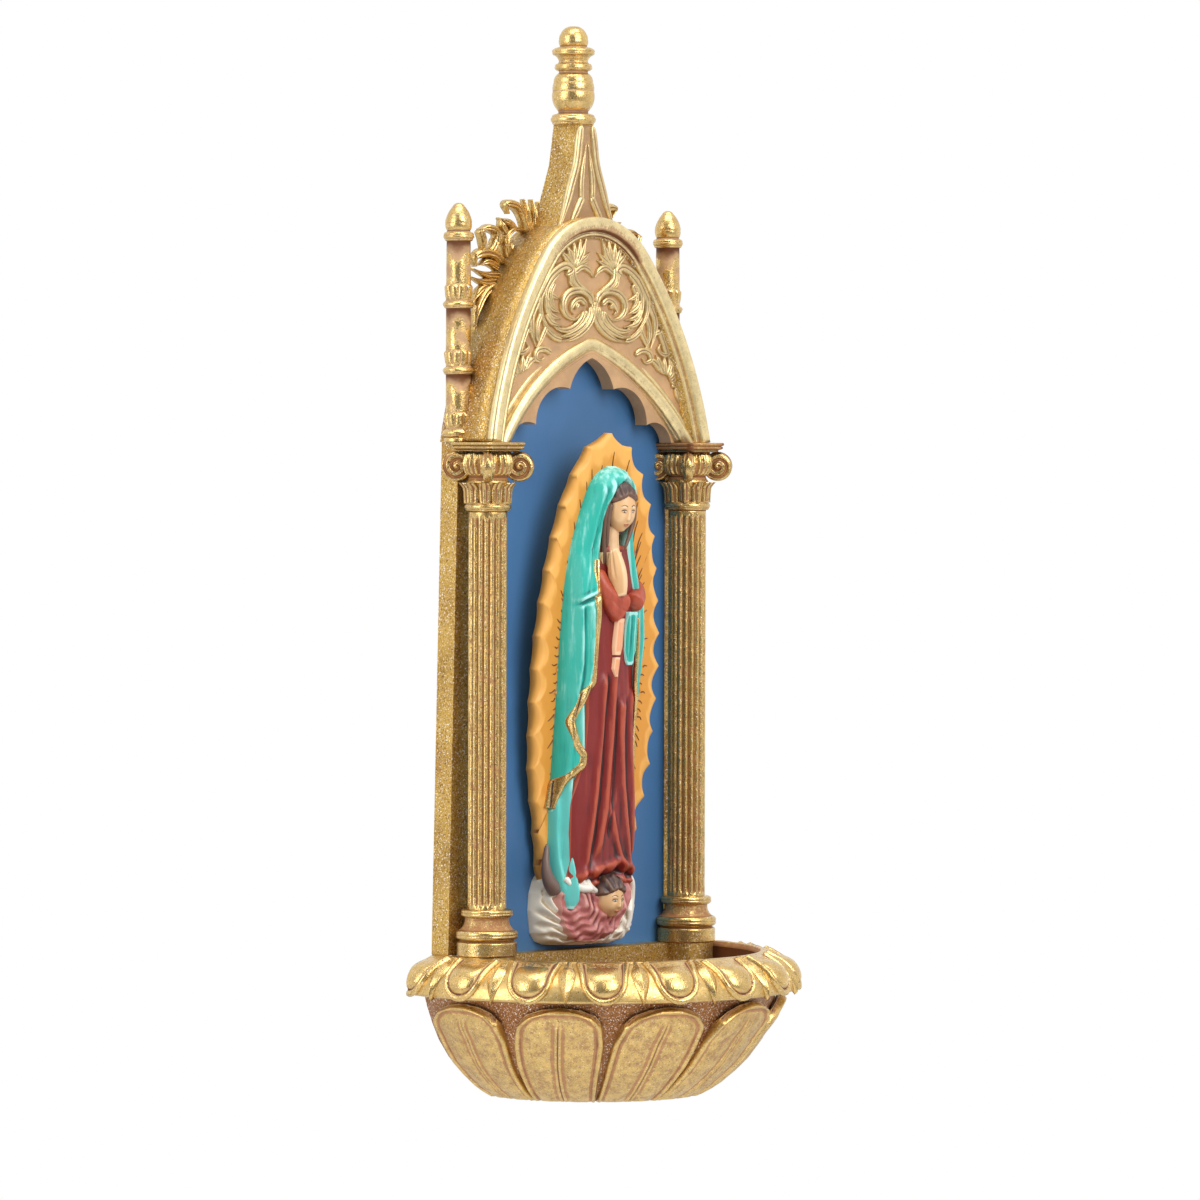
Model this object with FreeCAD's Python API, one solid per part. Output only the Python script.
import FreeCAD, Part

import math
import os

from FreeCAD import Vector

# Wall-hung holy water stoup: a gilt Gothic niche over a half-round basin.
# Millimetres. X runs across, the wall is the plane Y = 0 and the front faces -Y.
# "Out" below means the distance in front of the wall, so a point out by d lies at
# Y = -d. Heights below are counted from a level just under the bowl's foot; the finished
# pieces are lowered so that the origin is the keyhole that the stoup hangs by.

# ---- fits ----
FIT = 0.05                    # gap round a piece let into another
DOWEL_FIT = 0.1               # gap round a dowel in its hole

# ---- basin ----
RIM_RADIUS = 52.4
RIM_OUT = 14.5                # the basin's centre, out from the wall
RIM_BAND = 10.8               # plan width of the egg-and-dart band
RIM_BOTTOM = 26.9
RIM_TOP = 36.6
RIM_LIP = 1.6                 # plan width of the plain top edge
RIM_OVERHANG = 6.1            # of the rim over the top of the bowl
BOWL_FOOT = 1.0
BOWL_FOOT_RADIUS = 24.5
BOWL_FLOOR = 5.0
BOWL_WALL = 4.6
BOWL_SWELL = ((0.0, 0.0), (0.243, 0.104), (0.5, 0.274), (0.633, 0.386), (0.78, 0.556),
              (0.881, 0.726), (0.959, 0.888), (1.0, 1.0))
LEAF_COUNT = 7
LEAF_PITCH = 33.0             # degrees
LEAF_TURN = 8.8               # the middle leaf, round from the front
LEAF_THICK = 1.9
LEAF_HALF_WIDTH = 11.6
EGG_COUNT = 11
EGG_PITCH = 21.1              # degrees
EGG_LENGTH = 11.8
EGG_WIDTH = 12.6
EGG_THICK = 4.4
EGG_INSET = 4.7               # middle of an egg, in from the rim's edge
EGG_DROP = 3.5                # and below its top
DART_WIDTH = 3.6

# ---- case ----
BACK_THICK = 3.0
CASE_OUT = 5.8                # front of the case sides
CASE_HALF_TOP = 38.4
CASE_HALF_FOOT = 41.5
CASE_WALL = 6.0
TONGUE_HALF = 22.0            # the back board's tongue behind the basin
TONGUE_FOOT = 9.0
PANEL_OUT = 8.4               # front of the painted panel
SILL_OUT = 13.5               # front of the ledge and of the basin's back wall
SPRING = 162.5                # height where the arches spring

# ---- arches: centre across, centre below the springing, radius ----
OUTER_CENTRE = 66.0
OUTER_DROP = 18.3
OUTER_RADIUS = 104.9          # centre line of the outer roll
OUTER_APEX = 21.3             # rounding of the point, on that line
OUTER_ROLL = 1.7
HOOD_OUT = 16.9
HOOD_WALL = 3.6
INNER_CENTRE = 20.4
INNER_DROP = 36.1
INNER_RADIUS = 67.5           # outer edge of the inner roll's band
INNER_APEX = 9.0
INNER_BAND = 5.6
INNER_OUT = 17.4
TYMPANUM_OUT = 14.1
TYMPANUM_THICK = 3.0
CUSP_APEX = 0.95              # foils, as shares of the inner arch's height and half-width
CUSP_UPPER = (0.26, 0.60)
CUSP_LOWER = (0.66, 0.20)
CUSP_END = (0.95, 0.03)
CUSP_BULGES = (28, 55, 50)    # half angles of the three foils, degrees
CARVING_THICK = 1.3

# ---- spire and finial ----
SPIRE_OUT = 7.3               # axis of the spire and the finial
SPIRE_HALF_DEPTH = 4.5
SPIRE_TOP = 241.5
SPIRE_HALF_WIDTHS = ((241.5, 2.6), (231.5, 4.2), (222.0, 7.6), (217.0, 9.8), (209.0, 14.0))
TRACERY_THICK = 0.9
FINIAL_COLLAR = 5.4
BALL_RADIUS = 3.6
BALL_TOP = 266.0
DOWEL_RADIUS = 1.2
DOWEL_LENGTH = 10.0

# ---- pinnacles and scrolls ----
PINNACLE_ACROSS = 37.2
PINNACLE_OUT = 4.5
PINNACLE_RADIUS = 3.0
PINNACLE_BUD = 3.3
PINNACLE_TOP = 221.2
PINNACLE_RINGS = (2.3, 17.5, 33.7)    # heights over its foot
PIN_RADIUS = 0.8              # pin that holds a pinnacle to its case side
SCROLL_BACK = 1.0
SCROLL_THICK = 4.6

# ---- columns ----
COLUMN_ACROSS = 35.5
COLUMN_OUT = 13.2
SHAFT_RADIUS = 4.75
SHAFT_FOOT = 47.6
SHAFT_TOP = 145.6
FLUTES = 18
FLUTE_RADIUS = 0.55
DRUM_RADIUS = 7.4
ABACUS_HALF = 6.4
ABACUS_HALF_DEPTH = 7.1
ABACUS_THICK = 2.4
VOLUTE_PLATE = 2.2            # plate under the abacus that the corner scrolls hang from
VOLUTE_RADIUS = 3.5
VOLUTE_THICK = 2.2

# ---- figure ----
FIGURE_LEAN = 4.6             # degrees that the figure leans out of the niche
GLORY_THICK = 2.8
GLORY_FOOT = 47.0
GLORY_TIP = 165.5
GLORY_HALF = 20.3
GLORY_RAY = 2.0               # depth of the scallops between the points
GLORY_RAYS = 14
FIGURE_HALF = 14.2
FIGURE_DEPTH = 7.0
FIGURE_FOOT = 52.0
SHOULDER_HEIGHT = 127.0
HEAD_HEIGHT = 145.0
HEAD_RADIUS = 4.6
HEAD_OUT = 15.6
MANTLE_THICK = 1.3
CLOUD_TOP = 57.5
CLOUD_FOOT = 37.8
CLOUD_HALF = 16.5
SPACER_HALF = 5.0
CHERUB_HEIGHT = 49.0
CHERUB_OUT = 17.7
CHERUB_RADIUS = 4.7

# ---- fixings ----
SCREW_RADIUS = 1.5
SCREW_HEAD_RADIUS = 3.0
SCREW_HEAD_DEEP = 2.0
SCREW_LENGTH = 7.5
SCREW_ACROSS = 14.0
SCREW_HEIGHT = 19.0
KEY_HEIGHT = 196.0
KEY_BORE = 4.0
KEY_SLOT = 2.1
KEY_SLOT_LENGTH = 8.0
KEY_PLATE_HALF = 7.5
KEY_PLATE_HEIGHT = 24.0
KEY_PLATE_THICK = 1.0
KEY_SCREW_RADIUS = 1.1


def at(across, out, height):
    return Vector(across, -out, height)


def fused(shapes):
    whole = shapes[0]
    if len(shapes) > 1:
        whole = whole.multiFuse(shapes[1:])
    return whole.removeSplitter()


def face_of(points):
    return Part.Face(Part.makePolygon(points + points[:1]))


def box(left, right, back, front, low, high):
    return Part.makeBox(right - left, front - back, high - low, at(left, front, low))


def slab(outline, back, front):
    """Board cut to an outline of (across, height) points between two outs."""
    face = face_of([at(x, back, z) for x, z in outline])
    return face.extrude(at(0, front - back, 0))


def slab_of(face, back, front):
    """Board from a face drawn on the wall plane."""
    moved = face.copy()
    moved.translate(at(0, back, 0))
    return moved.extrude(at(0, front - back, 0))


def peg(radius, across, height, back, front):
    """Round bar square to the wall."""
    return Part.makeCylinder(radius, front - back, at(across, back, height), Vector(0, -1, 0))


def turned(profile, across, out):
    """Piece turned on an upright axis from (radius, height) points."""
    face = face_of([Vector(across + r, -out, z) for r, z in profile])
    return face.revolve(at(across, out, 0), Vector(0, 0, 1), 360)


def ring(radius, half, height, across, out):
    return Part.makeTorus(radius - half, half, at(across, out, height), Vector(0, 0, 1))


# ---- pointed arches ----

def arch_edges(centre, drop, radius, apex):
    """Two arcs that spring at SPRING and the small arc that joins them at the apex."""
    foot = math.sqrt(radius ** 2 - drop ** 2) - centre
    apex_height = SPRING - drop + math.sqrt((radius - apex) ** 2 - centre ** 2)
    lean = math.atan2(apex_height - (SPRING - drop), centre)

    def on_arc(angle):
        return at(-centre + radius * math.cos(angle), 0, SPRING - drop + radius * math.sin(angle))

    start = math.asin(drop / radius)
    right = Part.Arc(on_arc(start), on_arc((start + lean) / 2), on_arc(lean)).toShape()
    left = right.mirror(Vector(0, 0, 0), Vector(1, 0, 0))
    top = at(0, 0, apex_height + apex)
    joint = on_arc(lean)
    cap = Part.Arc(joint, top, at(-joint.x, 0, joint.z)).toShape()
    base = Part.makeLine(at(-foot, 0, SPRING), at(foot, 0, SPRING))
    return [right, cap, left, base]


def outer_arch(offset):
    """Area under the outer arch, grown or shrunk from the roll's centre line."""
    edges = arch_edges(OUTER_CENTRE, OUTER_DROP, OUTER_RADIUS + offset, OUTER_APEX + offset)
    return Part.Face(Part.Wire(Part.__sortEdges__(edges)))


def inner_arch(offset):
    edges = arch_edges(INNER_CENTRE, INNER_DROP, INNER_RADIUS + offset, INNER_APEX + offset)
    return Part.Face(Part.Wire(Part.__sortEdges__(edges)))


def arch_reach(face):
    """Half-width at the springing and height over it."""
    return face.BoundBox.XMax, face.BoundBox.ZMax - SPRING


def rounded_band(outer, inner, back, front, rounding):
    """Moulding between two arch faces with its front edges rounded."""
    band = slab_of(outer.cut(inner), back, front)
    edges = [e for e in band.Edges
             if abs(e.BoundBox.YMin + front) < 1e-4 and abs(e.BoundBox.YMax + front) < 1e-4
             and e.BoundBox.ZMax - e.BoundBox.ZMin > rounding]
    return band.makeFillet(rounding, edges)


def spire_outline(grow=0.0):
    right = [(half + grow, height) for height, half in SPIRE_HALF_WIDTHS]
    left = [(-x, z) for x, z in reversed(right)]
    return right + left


def pinnacle_well(side):
    """Round well that a pinnacle stands in where the hood comes close."""
    radius = PINNACLE_RADIUS + 0.6 + FIT
    axis = at(side * PINNACLE_ACROSS, PINNACLE_OUT, SPRING)
    return Part.makeCylinder(radius, PINNACLE_TOP - SPRING, axis)


WELLS = fused([pinnacle_well(-1), pinnacle_well(1)])


# ---- case ----

def case_half(height):
    share = (height - RIM_TOP) / (SPRING - RIM_TOP)
    return CASE_HALF_FOOT + (CASE_HALF_TOP - CASE_HALF_FOOT) * share


def case_back():
    foot = RIM_TOP
    sides = [(-case_half(foot), foot), (-TONGUE_HALF, foot), (-TONGUE_HALF, TONGUE_FOOT)]
    sides += [(TONGUE_HALF, TONGUE_FOOT), (TONGUE_HALF, foot), (case_half(foot), foot)]
    sides += [(CASE_HALF_TOP, SPRING), (-CASE_HALF_TOP, SPRING)]
    board = slab(sides, 0, BACK_THICK)
    head = slab_of(outer_arch(OUTER_ROLL), 0, BACK_THICK)
    board = fused([board, head]).cut(WELLS)
    board = board.cut(key_plate_recess())
    for across, height in key_screw_places():
        board = board.cut(peg(KEY_SCREW_RADIUS, across, height, 0, BACK_THICK))
    for across in (-SCREW_ACROSS, SCREW_ACROSS):
        board = board.cut(screw_hole(across))
    return board


def case_side(side):
    inner = case_half(SPRING) - CASE_WALL
    outline = [(inner, RIM_TOP), (case_half(RIM_TOP), RIM_TOP), (CASE_HALF_TOP, SPRING), (inner, SPRING)]
    board = slab(outline, BACK_THICK, CASE_OUT)
    if side < 0:
        board = board.mirror(Vector(0, 0, 0), Vector(1, 0, 0))
    return board.cut(pinnacle_pin(side, DOWEL_FIT))


def panel_half():
    return CASE_HALF_TOP - CASE_WALL - FIT


def niche_panel():
    board = box(-panel_half(), panel_half(), BACK_THICK, PANEL_OUT, RIM_TOP, SPRING)
    head = slab_of(outer_arch(-HOOD_WALL - FIT), BACK_THICK, PANEL_OUT)
    head = head.common(box(-panel_half(), panel_half(), 0, PANEL_OUT, SPRING, SPIRE_TOP))
    board = fused([board, head])
    for height in FIGURE_DOWELS:
        board = board.cut(peg(DOWEL_RADIUS + DOWEL_FIT, 0, height, BACK_THICK, PANEL_OUT))
    return board


def arch_hood():
    ring_face = outer_arch(OUTER_ROLL).cut(outer_arch(-HOOD_WALL))
    return slab_of(ring_face, BACK_THICK, HOOD_OUT).cut(WELLS)


def tympanum_panel():
    face = outer_arch(-HOOD_WALL).cut(inner_arch(-INNER_BAND))
    return slab_of(face, TYMPANUM_OUT - TYMPANUM_THICK, TYMPANUM_OUT)


def outer_arch_roll():
    band = (outer_arch(OUTER_ROLL), outer_arch(-OUTER_ROLL))
    return rounded_band(band[0], band[1], HOOD_OUT, HOOD_OUT + OUTER_ROLL, 1.3)


def inner_arch_roll():
    face = inner_arch(0)
    clear = outer_arch(-HOOD_WALL - FIT)
    return rounded_band(face.common(clear), inner_arch(-INNER_BAND), TYMPANUM_OUT, INNER_OUT, 1.1)


def lobe(start, end, bulge):
    """Round cutter through two cusps on the right of the foiled opening."""
    ax, az = start
    bx, bz = end
    chord = math.hypot(bx - ax, bz - az)
    radius = chord / 2 / math.sin(math.radians(bulge))
    back = radius * math.cos(math.radians(bulge))
    mid_x = (ax + bx) / 2 - back * (az - bz) / chord
    mid_z = (az + bz) / 2 - back * (bx - ax) / chord
    return peg(radius, mid_x, mid_z, 0, HOOD_OUT).common(box(0, 99, 0, HOOD_OUT, 0, SPIRE_TOP))


def cusp_points():
    """Apex, cusps and end of the foiled opening on the right-hand side."""
    half, rise = arch_reach(inner_arch(-INNER_BAND))
    shares = ((0.0, CUSP_APEX), CUSP_UPPER, CUSP_LOWER, CUSP_END)
    return [(half * across, SPRING + rise * up) for across, up in shares]


def cusped_screen():
    """Foiled screen hung inside the inner arch."""
    back = TYMPANUM_OUT - TYMPANUM_THICK - 1.0
    clear = outer_arch(-HOOD_WALL - FIT)
    screen = slab_of(inner_arch(-INNER_BAND - FIT).common(clear), back, TYMPANUM_OUT)
    cusps = cusp_points()
    outline = [(cusps[-1][0], SPRING - 1.0)] + cusps[:0:-1] + cusps[:1]
    outline += [(-x, z) for x, z in reversed(outline[:-1])]
    opening = [slab(outline, 0, HOOD_OUT)]
    for start, end, bulge in zip(cusps[:-1], cusps[1:], CUSP_BULGES):
        cutter = lobe(start, end, bulge)
        opening += [cutter, cutter.mirror(Vector(0, 0, 0), Vector(1, 0, 0))]
    for cutter in opening:
        screen = screen.cut(cutter)
    return sorted(screen.Solids, key=lambda s: -s.Volume)[0]


def curl(across, height, radius, width, back, front):
    """Open scroll eye of the carving."""
    eye = peg(radius, across, height, back, front)
    return eye.cut(peg(radius - width, across, height, back, front))


def frond(points, width, back, front):
    """Leaf stem of the carving: straight runs with round joints."""
    pieces = []
    for x, z in points:
        pieces.append(peg(width / 2, x, z, back, front))
    for (ax, az), (bx, bz) in zip(points[:-1], points[1:]):
        length = math.hypot(bx - ax, bz - az)
        run = Part.makeBox(length, front - back, width, at(0, front, -width / 2))
        run.rotate(Vector(0, 0, 0), Vector(0, 1, 0), -math.degrees(math.atan2(bz - az, bx - ax)))
        run.translate(at(ax, 0, az))
        pieces.append(run)
    return pieces


def carved(points):
    """Carving points from shares of the tympanum's half-width and height over the springing."""
    half, rise = arch_reach(outer_arch(0))
    return [(half * across, SPRING + rise * up) for across, up in points]


def tympanum_scrollwork():
    """Acanthus scrolls: two big spirals, sprays down the sides, palmettes at the top."""
    back = TYMPANUM_OUT
    front = TYMPANUM_OUT + CARVING_THICK
    runs = (
        (2.0, ((0.0, 0.55), (0.13, 0.52), (0.27, 0.50),
               (0.40, 0.55), (0.43, 0.65), (0.34, 0.75), (0.21, 0.80))),
        (1.8, ((0.21, 0.80), (0.12, 0.75), (0.0, 0.73))),
        (2.4, ((0.12, 0.75), (0.10, 0.87))),
        (2.4, ((0.43, 0.61), (0.56, 0.47), (0.64, 0.34))),
        (2.6, ((0.64, 0.34), (0.74, 0.21))),
    )
    eyes = ((4.4, 1.6, (0.24, 0.58)), (2.6, 1.1, (0.65, 0.39)))
    right = []
    for width, points in runs:
        right += frond(carved(points), width, back, front)
    for radius, width, place in eyes:
        across, height = carved([place])[0]
        right.append(curl(across, height, radius, width, back, front))
    left = [piece.mirror(Vector(0, 0, 0), Vector(1, 0, 0)) for piece in right]
    inside = outer_arch(-HOOD_WALL - FIT).cut(inner_arch(FIT))
    carving = fused(right + left).common(slab_of(inside, back, front))
    return sorted(carving.Solids, key=lambda s: -s.Volume)[0]


# ---- spire and finial ----

def gable_spire():
    back = BACK_THICK
    front = SPIRE_OUT + SPIRE_HALF_DEPTH
    body = slab(spire_outline(), back, front)
    body = body.cut(slab_of(outer_arch(OUTER_ROLL), 0, HOOD_OUT))
    socket = Part.makeCylinder(DOWEL_RADIUS + DOWEL_FIT, DOWEL_LENGTH / 2,
                               at(0, SPIRE_OUT, SPIRE_TOP - DOWEL_LENGTH / 2))
    return body.cut(socket).cut(WELLS)


def spire_tracery():
    """Raised ribs on the spire's face: the edges, a lancet and a small gable."""
    back = SPIRE_OUT + SPIRE_HALF_DEPTH
    front = back + TRACERY_THICK
    rib = 1.3
    ribs = []
    for sign in (1, -1):
        edge = [(sign * (half - rib / 2), height) for height, half in SPIRE_HALF_WIDTHS[:-1]]
        ribs += frond(edge, rib, back, front)
        lancet = [(0.0, 235.5), (sign * 1.9, 229.0), (sign * 2.6, 224.5)]
        ribs += frond(lancet, 0.9, back, front)
        ribs += frond([(0.0, 226.5), (sign * 5.4, 221.5)], 1.1, back, front)
    net = fused(ribs).cut(slab_of(outer_arch(OUTER_ROLL), 0, HOOD_OUT))
    return net.common(slab(spire_outline(), back, front))


def finial():
    top = BALL_TOP - BALL_RADIUS
    profile = [(0, SPIRE_TOP), (4.4, SPIRE_TOP), (4.6, SPIRE_TOP + 2.6), (3.4, SPIRE_TOP + 3.0),
               (3.9, SPIRE_TOP + 4.2), (4.9, SPIRE_TOP + 7.0), (5.1, SPIRE_TOP + 9.2),
               (4.3, SPIRE_TOP + 12.3), (3.6, SPIRE_TOP + 13.2), (3.8, SPIRE_TOP + 17.4),
               (3.6, top), (0, top)]
    shape = turned(profile, 0, SPIRE_OUT)
    rings = [ring(FINIAL_COLLAR, 1.2, SPIRE_TOP + 1.4, 0, SPIRE_OUT)]
    rings.append(ring(4.7, 0.8, SPIRE_TOP + 14.4, 0, SPIRE_OUT))
    rings.append(ring(5.25, 1.0, SPIRE_TOP + 18.2, 0, SPIRE_OUT))
    ball = Part.makeSphere(BALL_RADIUS, at(0, SPIRE_OUT, top))
    shape = fused([shape, ball] + rings)
    floor = box(-9, 9, SPIRE_OUT - 9, SPIRE_OUT + 9, SPIRE_TOP - 5, SPIRE_TOP)
    socket = Part.makeCylinder(DOWEL_RADIUS + DOWEL_FIT, DOWEL_LENGTH / 2, at(0, SPIRE_OUT, SPIRE_TOP))
    return shape.cut(floor).cut(socket)


def finial_dowel():
    return Part.makeCylinder(DOWEL_RADIUS, DOWEL_LENGTH, at(0, SPIRE_OUT, SPIRE_TOP - DOWEL_LENGTH / 2))


# ---- pinnacles and crocket scrolls ----

def pinnacle(side):
    across = side * PINNACLE_ACROSS
    r = PINNACLE_RADIUS
    bud = PINNACLE_TOP - 7.0
    profile = [(0, SPRING), (r + 0.6, SPRING), (r + 0.3, SPRING + 2.4), (r, SPRING + 2.8),
               (r, bud - 1.8), (PINNACLE_BUD, bud), (PINNACLE_BUD, bud + 3.2),
               (PINNACLE_BUD * 0.7, bud + 5.7), (0, PINNACLE_TOP)]
    shape = turned(profile, across, PINNACLE_OUT)
    collars = [ring(r + 0.5, 0.7, SPRING + height, across, PINNACLE_OUT) for height in PINNACLE_RINGS]
    collars.append(ring(r + 0.6, 1.2, bud - 1.6, across, PINNACLE_OUT))
    return fused([shape] + collars).cut(pinnacle_pin(side, DOWEL_FIT))


def pinnacle_pin(side, grow=0.0):
    foot = at(side * PINNACLE_ACROSS, PINNACLE_OUT, SPRING - DOWEL_LENGTH / 2)
    return Part.makeCylinder(PIN_RADIUS + grow, DOWEL_LENGTH, foot)


def pinnacle_pins():
    return Part.makeCompound([pinnacle_pin(-1), pinnacle_pin(1)])


def crocket_scroll(side):
    """Openwork acanthus between a pinnacle and the arch, fixed by its lower stem."""
    back = SCROLL_BACK
    front = SCROLL_BACK + SCROLL_THICK
    pieces = [curl(14.5, 213.3, 4.6, 2.1, back, front)]
    pieces += frond([(10.2, 220.0), (13.6, 220.6), (17.0, 217.0)], 3.2, back, front)
    pieces += frond([(18.4, 214.2), (23.0, 212.8), (24.3, 208.4), (20.5, 206.2)], 3.2, back, front)
    pieces += frond([(20.5, 206.2), (25.5, 203.8), (29.0, 203.2), (30.8, 199.6)], 3.2, back, front)
    pieces += frond([(26.5, 202.4), (27.0, 196.0), (31.5, 190.0), (33.6, 184.0)], 2.6, back, front)
    scroll = fused(pieces)
    if side < 0:
        scroll = scroll.mirror(Vector(0, 0, 0), Vector(1, 0, 0))
    scroll = scroll.cut(slab_of(outer_arch(OUTER_ROLL + FIT), 0, HOOD_OUT))
    scroll = scroll.cut(slab(spire_outline(FIT), 0, HOOD_OUT)).cut(WELLS)
    return sorted(scroll.Solids, key=lambda s: -s.Volume)[0]


# ---- columns ----

def flat_back(shape):
    """Column pieces are planed flat where they meet the case."""
    return shape.cut(box(-99, 99, -50, CASE_OUT + FIT, 0, SPIRE_TOP))


def column_base(side):
    across = side * COLUMN_ACROSS
    r = DRUM_RADIUS
    profile = [(0, RIM_TOP), (r, RIM_TOP), (r, RIM_TOP + 3.4), (r - 0.6, RIM_TOP + 3.9),
               (r - 1.2, RIM_TOP + 6.6), (r - 2.2, RIM_TOP + 9.4), (r - 1.9, RIM_TOP + 10.3),
               (SHAFT_RADIUS, SHAFT_FOOT), (0, SHAFT_FOOT)]
    shape = turned(profile, across, COLUMN_OUT)
    beads = [ring(r + 0.2, 1.3, RIM_TOP + 4.8, across, COLUMN_OUT)]
    beads.append(ring(r - 1.2, 1.0, SHAFT_FOOT - 1.0, across, COLUMN_OUT))
    shape = fused([shape] + beads)
    return flat_back(shape).cut(case_recess())


def case_recess():
    """Panel edge that stands in front of the case sides."""
    return box(-panel_half() - FIT, panel_half() + FIT, 0, PANEL_OUT + FIT, RIM_BOTTOM, SPIRE_TOP)


def column_shaft(side):
    across = side * COLUMN_ACROSS
    shape = Part.makeCylinder(SHAFT_RADIUS, SHAFT_TOP - SHAFT_FOOT, at(across, COLUMN_OUT, SHAFT_FOOT))
    cutters = []
    for number in range(FLUTES):
        angle = 2 * math.pi * (number + 0.5) / FLUTES
        place = at(across + SHAFT_RADIUS * math.cos(angle), COLUMN_OUT + SHAFT_RADIUS * math.sin(angle),
                   SHAFT_FOOT + 2.0)
        cutters.append(Part.makeCylinder(FLUTE_RADIUS, SHAFT_TOP - SHAFT_FOOT - 4.0, place))
    shape = shape.cut(Part.makeCompound(cutters))
    return flat_back(shape).cut(case_recess())


def capital_bell(side):
    across = side * COLUMN_ACROSS
    top = SPRING - ABACUS_THICK - VOLUTE_PLATE
    profile = [(0, SHAFT_TOP), (5.4, SHAFT_TOP), (5.6, SHAFT_TOP + 1.0), (4.9, SHAFT_TOP + 2.2),
               (5.3, SHAFT_TOP + 5.6), (6.3, SHAFT_TOP + 7.4), (5.6, SHAFT_TOP + 9.4), (5.9, top), (0, top)]
    shape = turned(profile, across, COLUMN_OUT)
    return flat_back(shape).cut(case_recess())


def capital_volutes(side):
    """Four corner scrolls that hang from one plate under the abacus."""
    across = side * COLUMN_ACROSS
    top = SPRING - ABACUS_THICK
    reach_x = ABACUS_HALF - 1.4
    reach_d = ABACUS_HALF_DEPTH - 2.1
    pieces = [box(across - reach_x, across + reach_x, COLUMN_OUT - reach_d, COLUMN_OUT + reach_d,
                  top - VOLUTE_PLATE, top)]
    for sx in (-1, 1):
        for sd in (-1, 1):
            disc = Part.makeCylinder(VOLUTE_RADIUS, VOLUTE_THICK, Vector(0, 0, -VOLUTE_THICK / 2))
            disc.rotate(Vector(0, 0, 0), Vector(1, 0, 0), 90)
            disc.rotate(Vector(0, 0, 0), Vector(0, 0, 1), 45 * sx * sd)
            out = COLUMN_OUT + sd * (reach_d + 0.4)
            disc.translate(at(across + sx * (reach_x + 0.4), out, top - VOLUTE_RADIUS))
            pieces.append(disc)
    shape = fused(pieces).cut(capital_bell(side))
    shape = flat_back(shape).cut(case_recess())
    return sorted(shape.Solids, key=lambda s: -s.Volume)[0]


def abacus(side):
    across = side * COLUMN_ACROSS
    low = SPRING - ABACUS_THICK
    plate = box(across - ABACUS_HALF, across + ABACUS_HALF, COLUMN_OUT - ABACUS_HALF_DEPTH,
                COLUMN_OUT + ABACUS_HALF_DEPTH, low, SPRING)
    edges = [edge for edge in plate.Edges if edge.BoundBox.ZMax < low + 0.1]
    plate = plate.makeChamfer(0.9, edges)
    return flat_back(plate).cut(case_recess())


# ---- basin ----

def turned_basin(profile):
    """Basin shape: (radius, height) points turned about the basin's centre, flat at the wall."""
    whole = turned(profile, 0, RIM_OUT)
    return whole.cut(box(-99, 99, -99, 0, 0, RIM_TOP))


def swell(foot_radius, foot, top_radius):
    """Side of the bowl from its foot to the underside of the rim."""
    return [(foot_radius + (top_radius - foot_radius) * out, foot + (RIM_BOTTOM - foot) * up)
            for out, up in BOWL_SWELL]


def bowl_side(grow=0.0):
    return swell(BOWL_FOOT_RADIUS + grow, BOWL_FOOT, RIM_RADIUS - RIM_OVERHANG + grow)


def basin_bowl():
    solid = turned_basin([(0, BOWL_FOOT)] + bowl_side() + [(0, RIM_BOTTOM)])
    side = swell(BOWL_FOOT_RADIUS - BOWL_WALL / 2, BOWL_FLOOR, RIM_RADIUS - RIM_OVERHANG - BOWL_WALL)
    hollow = turned_basin([(0, BOWL_FLOOR)] + side + [(0, RIM_BOTTOM)])
    solid = solid.cut(hollow.cut(box(-99, 99, -1, SILL_OUT, 0, RIM_TOP)))
    tongue = box(-TONGUE_HALF - FIT, TONGUE_HALF + FIT, 0, BACK_THICK + FIT, TONGUE_FOOT - FIT, RIM_TOP)
    solid = solid.cut(tongue)
    for across in (-SCREW_ACROSS, SCREW_ACROSS):
        solid = solid.cut(peg(SCREW_RADIUS, across, SCREW_HEIGHT, 0, SCREW_LENGTH))
    return solid


def rim_inner():
    return RIM_RADIUS - RIM_BAND


def basin_rim():
    inner = rim_inner()
    profile = [(inner - 2.2, RIM_BOTTOM), (RIM_RADIUS - 1.0, RIM_BOTTOM), (RIM_RADIUS, RIM_BOTTOM + 0.8),
               (RIM_RADIUS - 0.2, RIM_BOTTOM + 2.2), (RIM_RADIUS - 1.6, RIM_TOP - 5.0),
               (RIM_RADIUS - 4.8, RIM_TOP - 1.9), (inner + RIM_LIP, RIM_TOP), (inner, RIM_TOP),
               (inner - 0.6, RIM_TOP - 2.0)]
    band = turned_basin(profile)
    tongue = box(-case_half(RIM_TOP) - FIT, case_half(RIM_TOP) + FIT, -1, SILL_OUT, RIM_BOTTOM, RIM_TOP + 1)
    return band.cut(tongue)


def niche_sill():
    """Ledge under the panel with a round corbel under each column."""
    half = rim_inner() - 2.3
    bar = box(-half, half, BACK_THICK + FIT, SILL_OUT - FIT, RIM_BOTTOM, RIM_TOP)
    pieces = [bar]
    for side in (-1, 1):
        foot = at(side * COLUMN_ACROSS, COLUMN_OUT, RIM_BOTTOM)
        pieces.append(Part.makeCylinder(DRUM_RADIUS - 0.4, RIM_TOP - RIM_BOTTOM, foot))
    shape = fused(pieces).cut(box(-99, 99, -1, BACK_THICK + FIT, 0, SPIRE_TOP))
    keep = turned([(0, RIM_BOTTOM), (half, RIM_BOTTOM), (half, RIM_TOP), (0, RIM_TOP)], 0, RIM_OUT)
    return shape.common(keep)


def round_the_basin(shape, degrees):
    turned_shape = shape.copy()
    turned_shape.rotate(at(0, RIM_OUT, 0), Vector(0, 0, 1), degrees)
    return turned_shape


def band_slope():
    return math.degrees(math.atan2(RIM_TOP - RIM_BOTTOM - 1.5, RIM_BAND - RIM_LIP))


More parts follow.
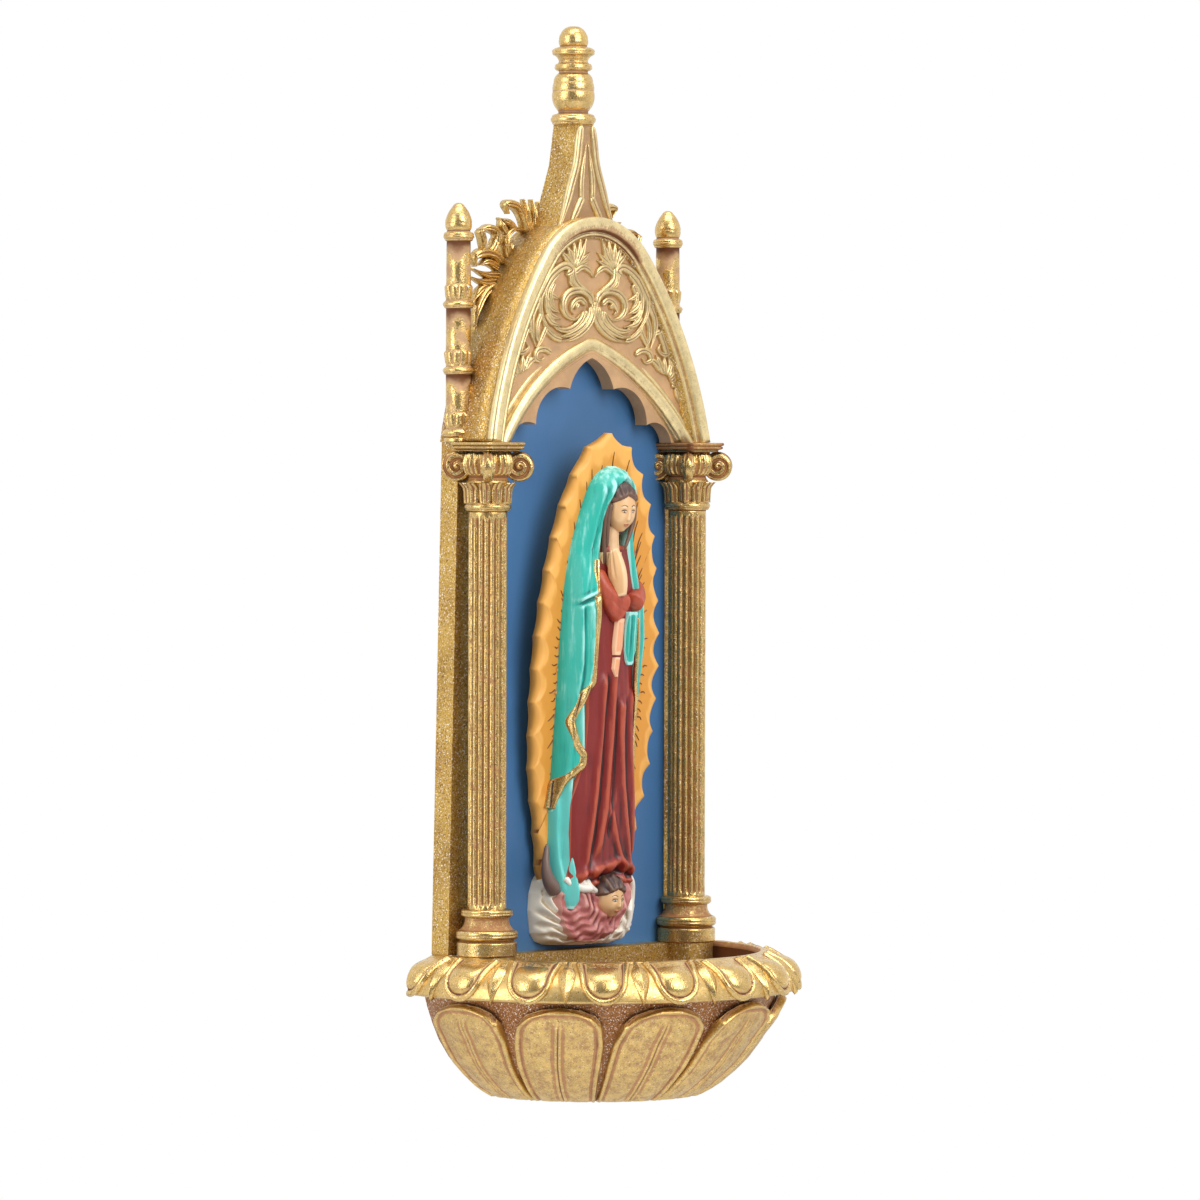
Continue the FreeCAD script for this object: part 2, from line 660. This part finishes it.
def band_piece(width, length, thick):
    """Egg-shaped boss lying on the rim's sloping band at the front of the basin."""
    shape = Part.makeSphere(0.5)
    matrix = FreeCAD.Matrix()
    matrix.scale(width, thick, length)
    shape = shape.transformGeometry(matrix)
    shape.rotate(Vector(0, 0, 0), Vector(1, 0, 0), -(90 - band_slope()))
    shape.translate(at(0, RIM_OUT + RIM_RADIUS - EGG_INSET, RIM_TOP - EGG_DROP))
    return shape


def rim_eggs():
    return rim_bosses(EGG_COUNT, EGG_WIDTH, EGG_LENGTH, EGG_THICK)


def rim_darts():
    darts = rim_bosses(EGG_COUNT - 1, DART_WIDTH, EGG_LENGTH * 0.86, EGG_THICK)
    return darts.cut(rim_eggs())


def rim_bosses(count, width, length, thick):
    """One boss an egg's pitch after another, cut off where they run into the wall."""
    boss = band_piece(width, length, thick)
    rim = basin_rim()
    keep = box(-99, 99, 0.3, 99, RIM_BOTTOM, RIM_TOP)
    bosses = []
    for number in range(count):
        angle = EGG_PITCH * (number - (count - 1) / 2)
        copy = round_the_basin(boss, angle).cut(rim).common(keep)
        bosses.append(sorted(copy.Solids, key=lambda s: -s.Volume)[0])
    return Part.makeCompound(bosses)


def basin_leaves():
    """Lotus leaves laid on the bowl; the last one is cut off by the wall."""
    skin_out = bowl_side(LEAF_THICK)
    skin_in = bowl_side()
    skin = turned_basin(skin_in[:1] + skin_out[1:] + list(reversed(skin_in[1:])))
    half = LEAF_HALF_WIDTH
    rise = RIM_BOTTOM - BOWL_FOOT - 0.8
    shares = ((0.0, 0.0), (0.62, 0.03), (0.78, 0.16), (0.93, 0.40), (1.0, 0.60), (0.95, 0.75),
              (0.78, 0.88), (0.5, 0.96), (0.0, 1.0))
    outline = [(half * across, BOWL_FOOT + rise * up) for across, up in shares]
    outline += [(-x, z) for x, z in reversed(outline[1:-1])]
    leaf = slab(outline, RIM_OUT + 5.0, RIM_OUT + RIM_RADIUS).common(skin)
    leaves = []
    for number in range(LEAF_COUNT):
        angle = LEAF_PITCH * (number - (LEAF_COUNT - 1) / 2) + LEAF_TURN
        copy = round_the_basin(leaf, angle).common(box(-99, 99, 0, 99, 0, RIM_BOTTOM))
        leaves.append(sorted(copy.Solids, key=lambda s: -s.Volume)[0])
    return Part.makeCompound(leaves)


# ---- figure ----

FIGURE_DOWELS = (70.0, 118.0)
GLORY_OUT = PANEL_OUT + GLORY_THICK


def glory_half(height):
    """Half-width of the glory at a height."""
    share = (height - GLORY_FOOT) / (GLORY_TIP - GLORY_FOOT)
    return GLORY_HALF * math.sin(math.pi * min(max(share, 0.0), 1.0) ** 0.82) ** 0.55


def glory():
    """Pointed-edged board behind the figure, scalloped between its points."""
    right = []
    low = GLORY_FOOT + 5.0
    pitch = (GLORY_TIP - low) / GLORY_RAYS
    points = []
    for number in range(GLORY_RAYS + 1):
        height = low + pitch * number
        points.append((glory_half(height) + GLORY_RAY, height))
    points[-1] = (0.0, GLORY_TIP)
    for (ax, az), (bx, bz) in zip(points[:-1], points[1:]):
        chord = math.hypot(bx - ax, bz - az)
        dip_x = (ax + bx) / 2 - GLORY_RAY * (bz - az) / chord
        dip_z = (az + bz) / 2 + GLORY_RAY * (bx - ax) / chord
        right.append(Part.Arc(at(ax, 0, az), at(dip_x, 0, dip_z), at(bx, 0, bz)).toShape())
    left = [edge.mirror(Vector(0, 0, 0), Vector(1, 0, 0)) for edge in right]
    base = Part.makeLine(at(-points[0][0], 0, low), at(points[0][0], 0, low))
    face = Part.Face(Part.Wire(Part.__sortEdges__(right + left + [base])))
    return slab_of(face, PANEL_OUT, GLORY_OUT)


def leaned(shape):
    """The glued-up figure leans out from its foot; level sockets take the dowels from the panel."""
    moved = shape.copy()
    moved.rotate(at(0, PANEL_OUT, CLOUD_FOOT), Vector(1, 0, 0), FIGURE_LEAN)
    return moved.cut(figure_sockets())


def lean_out(height):
    """Out of the glory's leaning back at a height."""
    return PANEL_OUT + (height - CLOUD_FOOT) * math.tan(math.radians(FIGURE_LEAN))


def standing_section(height, half, depth):
    """Half-ellipse standing out from the glory."""
    start = at(-half, GLORY_OUT, height)
    end = at(half, GLORY_OUT, height)
    points = [at(-half * math.cos(a), GLORY_OUT + depth * math.sin(a), height)
              for a in [math.pi * k / 8 for k in range(1, 8)]]
    curve = Part.BSplineCurve()
    curve.interpolate([start] + points + [end])
    return Part.Wire([curve.toShape(), Part.makeLine(end, start)])


def standing(sections):
    return Part.makeLoft([standing_section(*s) for s in sections], True, False)


def gown_sections():
    half = FIGURE_HALF - MANTLE_THICK
    depth = FIGURE_DEPTH - MANTLE_THICK
    shares = ((FIGURE_FOOT, 0.80, 0.86), (62.0, 0.84, 0.86), (85.0, 0.86, 0.80), (104.0, 0.86, 0.80),
              (118.0, 0.92, 0.90), (SHOULDER_HEIGHT + 3.0, 0.66, 0.72), (136.0, 0.28, 0.52))
    return [(z, half * a, depth * b) for z, a, b in shares]


def gown():
    return standing(gown_sections()).cut(head_ball())


def figure_sockets():
    reach = GLORY_THICK + 3.0
    radius = DOWEL_RADIUS + DOWEL_FIT
    pegs = [peg(radius, 0, height, 0, lean_out(height) + reach) for height in FIGURE_DOWELS]
    return fused(pegs)


def head_ball():
    shape = Part.makeSphere(HEAD_RADIUS)
    matrix = FreeCAD.Matrix()
    matrix.scale(0.92, 1.0, 1.18)
    shape = shape.transformGeometry(matrix)
    shape.translate(at(0.6, HEAD_OUT, HEAD_HEIGHT))
    return shape


def head():
    neck = Part.makeCylinder(2.0, 8.0, at(0.6, HEAD_OUT - 1.6, HEAD_HEIGHT - 11.0))
    return fused([head_ball(), neck])


def mantle():
    """Cloak over the head and down both sides, open at the front."""
    grown = standing([(FIGURE_FOOT + 2.0, FIGURE_HALF * 0.92, FIGURE_DEPTH * 0.70),
                      (75.0, FIGURE_HALF * 0.99, FIGURE_DEPTH * 0.82),
                      (104.0, FIGURE_HALF * 1.0, FIGURE_DEPTH * 0.94),
                      (120.0, FIGURE_HALF * 0.98, FIGURE_DEPTH),
                      (132.0, FIGURE_HALF * 0.70, FIGURE_DEPTH * 1.05),
                      (141.0, FIGURE_HALF * 0.50, FIGURE_DEPTH * 1.08),
                      (149.0, FIGURE_HALF * 0.42, FIGURE_DEPTH * 0.95),
                      (154.5, FIGURE_HALF * 0.20, FIGURE_DEPTH * 0.55)])
    opening = slab([(-6.5, 40.0), (6.5, 40.0), (8.5, 84.0), (7.5, 118.0), (4.2, 136.0), (3.6, 148.0),
                    (0.0, 151.5), (-3.0, 148.0), (-3.6, 136.0), (-5.0, 118.0), (-3.0, 84.0)],
                   GLORY_OUT + 2.0, GLORY_OUT + 20.0)
    shape = grown.cut(opening).cut(standing(gown_sections())).cut(head())
    return sorted(shape.Solids, key=lambda s: -s.Volume)[0]


def hands():
    """Hands joined in prayer with their forearms."""
    front = GLORY_OUT + FIGURE_DEPTH
    palm = Part.makeCone(1.9, 0.7, 8.6, at(2.6, front + 0.2, 127.5), Vector(-0.05, 0.12, 1))
    shape = palm.cut(gown()).cut(mantle()).cut(head())
    return sorted(shape.Solids, key=lambda s: -s.Volume)[0]


def sash():
    """Bow of the belt and its two tails lying on the gown."""
    back = GLORY_OUT + 2.0
    front = GLORY_OUT + FIGURE_DEPTH + 0.4
    pieces = frond([(0.4, 119.5), (1.6, 105.5)], 1.9, back, front)
    pieces += frond([(3.0, 119.5), (4.6, 106.5)], 1.9, back, front)
    pieces += frond([(0.4, 119.5), (3.0, 119.5)], 2.2, back, front)
    shape = fused(pieces).cut(gown()).cut(mantle())
    return sorted(shape.Solids, key=lambda s: -s.Volume)[0]


def crescent():
    """Dark moon under the gown: a flat lune on the glory."""
    outer = peg(14.5, 0, 71.0, GLORY_OUT, GLORY_OUT + 2.2)
    inner = peg(14.5, 0, 76.0, GLORY_OUT, GLORY_OUT + 2.2)
    return outer.cut(inner).cut(gown()).cut(mantle())


def cloud_body():
    low = CLOUD_FOOT
    sections = [(low, CLOUD_HALF * 0.72, 5.6), (low + 2.4, CLOUD_HALF * 0.93, 7.4), (46.0, CLOUD_HALF, 7.0)]
    sections += [(FIGURE_FOOT, CLOUD_HALF * 0.96, 5.8), (CLOUD_TOP, CLOUD_HALF * 0.80, 3.4)]
    return standing(sections)


def cloud_base():
    right = [(CLOUD_HALF * 0.72, CLOUD_FOOT), (CLOUD_HALF, 46.0), (CLOUD_HALF * 0.9, 52.0)]
    back = slab(right + [(-x, z) for x, z in reversed(right)], PANEL_OUT, GLORY_OUT)
    shape = fused([cloud_body(), back])
    return shape.cut(glory()).cut(gown()).cut(mantle()).cut(cherub_head())


def cherub_head():
    return Part.makeSphere(CHERUB_RADIUS, at(1.2, CHERUB_OUT, CHERUB_HEIGHT)).cut(gown())


def cherub_tunic():
    front = GLORY_OUT + 8.6
    outline = [(-9.0, 50.0), (-6.5, 43.0), (-1.0, 39.0), (5.5, 40.2), (9.4, 46.0), (10.2, 52.0),
               (6.0, 48.0), (-4.0, 47.0)]
    cloth = slab(outline, GLORY_OUT + 3.0, front)
    shape = cloth.cut(cloud_body()).cut(cherub_head()).cut(gown())
    return sorted(shape.Solids, key=lambda s: -s.Volume)[0]


def cherub_wings():
    """Pair of short wings spread on the cloud."""
    wings = []
    for side in (-1, 1):
        outline = [(side * 10.4, 40.0), (side * 15.4, 43.0), (side * 16.6, 50.0),
                   (side * 13.0, 56.0), (side * 10.6, 50.0)]
        wing = slab(outline, GLORY_OUT + 1.0, GLORY_OUT + 7.2).cut(cloud_body())
        wing = wing.cut(cherub_tunic()).cut(mantle()).cut(gown())
        wings.append(sorted(wing.Solids, key=lambda s: -s.Volume)[0])
    return Part.makeCompound(wings)


def figure_dowels():
    pegs = []
    for height in FIGURE_DOWELS:
        pegs.append(peg(DOWEL_RADIUS, 0, height, BACK_THICK + 1.0, lean_out(height) + GLORY_THICK + 2.5))
    return Part.makeCompound(pegs)


def figure_spacer():
    """Wedge that fills the gap between the panel and the leaning glory."""
    low = FIGURE_DOWELS[0] - 6.0
    high = FIGURE_DOWELS[1] + 6.0
    half = SPACER_HALF
    side = [at(-half, PANEL_OUT, low), at(-half, lean_out(low), low), at(-half, lean_out(high), high),
            at(-half, PANEL_OUT, high)]
    return face_of(side).extrude(Vector(2 * half, 0, 0)).cut(figure_sockets())


# ---- fixings ----

def screw_head(across, back, grow):
    """Countersunk head."""
    place = at(across, back, SCREW_HEIGHT)
    return Part.makeCone(SCREW_HEAD_RADIUS + grow, SCREW_RADIUS, SCREW_HEAD_DEEP, place, Vector(0, -1, 0))


def screw_hole(across):
    head_cut = screw_head(across, 0, FIT)
    return fused([peg(SCREW_RADIUS + DOWEL_FIT, across, SCREW_HEIGHT, 0, BACK_THICK), head_cut])


def basin_screws():
    screws = []
    for across in (-SCREW_ACROSS, SCREW_ACROSS):
        cone = screw_head(across, FIT, 0)
        shank = peg(SCREW_RADIUS, across, SCREW_HEIGHT, 1.0, SCREW_LENGTH - 0.3)
        slot = box(across - SCREW_HEAD_RADIUS, across + SCREW_HEAD_RADIUS, 0, 0.8,
                   SCREW_HEIGHT - 0.4, SCREW_HEIGHT + 0.4)
        screws.append(fused([cone, shank]).cut(slot))
    return Part.makeCompound(screws)


def key_plate_recess():
    low = KEY_HEIGHT - KEY_PLATE_HEIGHT / 2
    pocket = box(-KEY_PLATE_HALF - FIT, KEY_PLATE_HALF + FIT, 0, KEY_PLATE_THICK + FIT, low - FIT,
                 low + KEY_PLATE_HEIGHT + FIT)
    room = box(-KEY_BORE - 0.6, KEY_BORE + 0.6, 0, BACK_THICK, KEY_HEIGHT - 5.0, KEY_HEIGHT + 9.0)
    return fused([pocket, room])


def key_screw_places():
    return [(0.0, KEY_HEIGHT - 9.0), (-5.5, KEY_HEIGHT + 9.6), (5.5, KEY_HEIGHT + 9.6)]


def keyhole_plate():
    """Plate let into the back: a round entry and a slot above it for the wall screw's neck."""
    low = KEY_HEIGHT - KEY_PLATE_HEIGHT / 2
    plate = box(-KEY_PLATE_HALF, KEY_PLATE_HALF, 0, KEY_PLATE_THICK, low, low + KEY_PLATE_HEIGHT)
    entry = peg(KEY_BORE, 0, KEY_HEIGHT, 0, KEY_PLATE_THICK)
    slot = box(-KEY_SLOT, KEY_SLOT, 0, KEY_PLATE_THICK, KEY_HEIGHT, KEY_HEIGHT + KEY_SLOT_LENGTH - KEY_SLOT)
    end = peg(KEY_SLOT, 0, KEY_HEIGHT + KEY_SLOT_LENGTH - KEY_SLOT, 0, KEY_PLATE_THICK)
    plate = plate.cut(entry).cut(slot).cut(end)
    for across, height in key_screw_places():
        plate = plate.cut(peg(KEY_SCREW_RADIUS, across, height, 0, KEY_PLATE_THICK))
    return plate


def keyhole_screws():
    screws = []
    for across, height in key_screw_places():
        shank = peg(KEY_SCREW_RADIUS - 0.02, across, height, 0.1, BACK_THICK - 0.1)
        screws.append(shank)
    return Part.makeCompound(screws)


NODES = {
    "case_back": case_back,
    "left_case_side": lambda: case_side(-1),
    "right_case_side": lambda: case_side(1),
    "niche_panel": niche_panel,
    "niche_sill": niche_sill,
    "arch_hood": arch_hood,
    "tympanum_panel": tympanum_panel,
    "tympanum_scrollwork": tympanum_scrollwork,
    "outer_arch_roll": outer_arch_roll,
    "inner_arch_roll": inner_arch_roll,
    "cusped_screen": cusped_screen,
    "gable_spire": gable_spire,
    "spire_tracery": spire_tracery,
    "finial": finial,
    "finial_dowel": finial_dowel,
    "left_pinnacle": lambda: pinnacle(-1),
    "right_pinnacle": lambda: pinnacle(1),
    "pinnacle_pins": pinnacle_pins,
    "left_crocket_scroll": lambda: crocket_scroll(-1),
    "right_crocket_scroll": lambda: crocket_scroll(1),
    "left_column_base": lambda: column_base(-1),
    "right_column_base": lambda: column_base(1),
    "left_column_shaft": lambda: column_shaft(-1),
    "right_column_shaft": lambda: column_shaft(1),
    "left_capital_bell": lambda: capital_bell(-1),
    "right_capital_bell": lambda: capital_bell(1),
    "left_capital_volutes": lambda: capital_volutes(-1),
    "right_capital_volutes": lambda: capital_volutes(1),
    "left_abacus": lambda: abacus(-1),
    "right_abacus": lambda: abacus(1),
    "basin_bowl": basin_bowl,
    "basin_rim": basin_rim,
    "rim_eggs": rim_eggs,
    "rim_darts": rim_darts,
    "basin_leaves": basin_leaves,
    "glory": lambda: leaned(glory()),
    "gown": lambda: leaned(gown()),
    "mantle": lambda: leaned(mantle()),
    "head": lambda: leaned(head()),
    "hands": lambda: leaned(hands()),
    "sash": lambda: leaned(sash()),
    "crescent": lambda: leaned(crescent()),
    "cloud_base": lambda: leaned(cloud_base()),
    "cherub_head": lambda: leaned(cherub_head()),
    "cherub_tunic": lambda: leaned(cherub_tunic()),
    "cherub_wings": lambda: leaned(cherub_wings()),
    "figure_dowels": figure_dowels,
    "figure_spacer": figure_spacer,
    "basin_screws": basin_screws,
    "keyhole_plate": keyhole_plate,
    "keyhole_screws": keyhole_screws,
}


os.makedirs("parts", exist_ok=True)
for name, make in NODES.items():
    shape = make()
    shape.translate(Vector(0, 0, -KEY_HEIGHT))
    if not shape.isValid():
        print("not valid:", name)
    print(name, len(shape.Solids), round(shape.Volume, 1))
    shape.exportStep("parts/" + name + ".step")
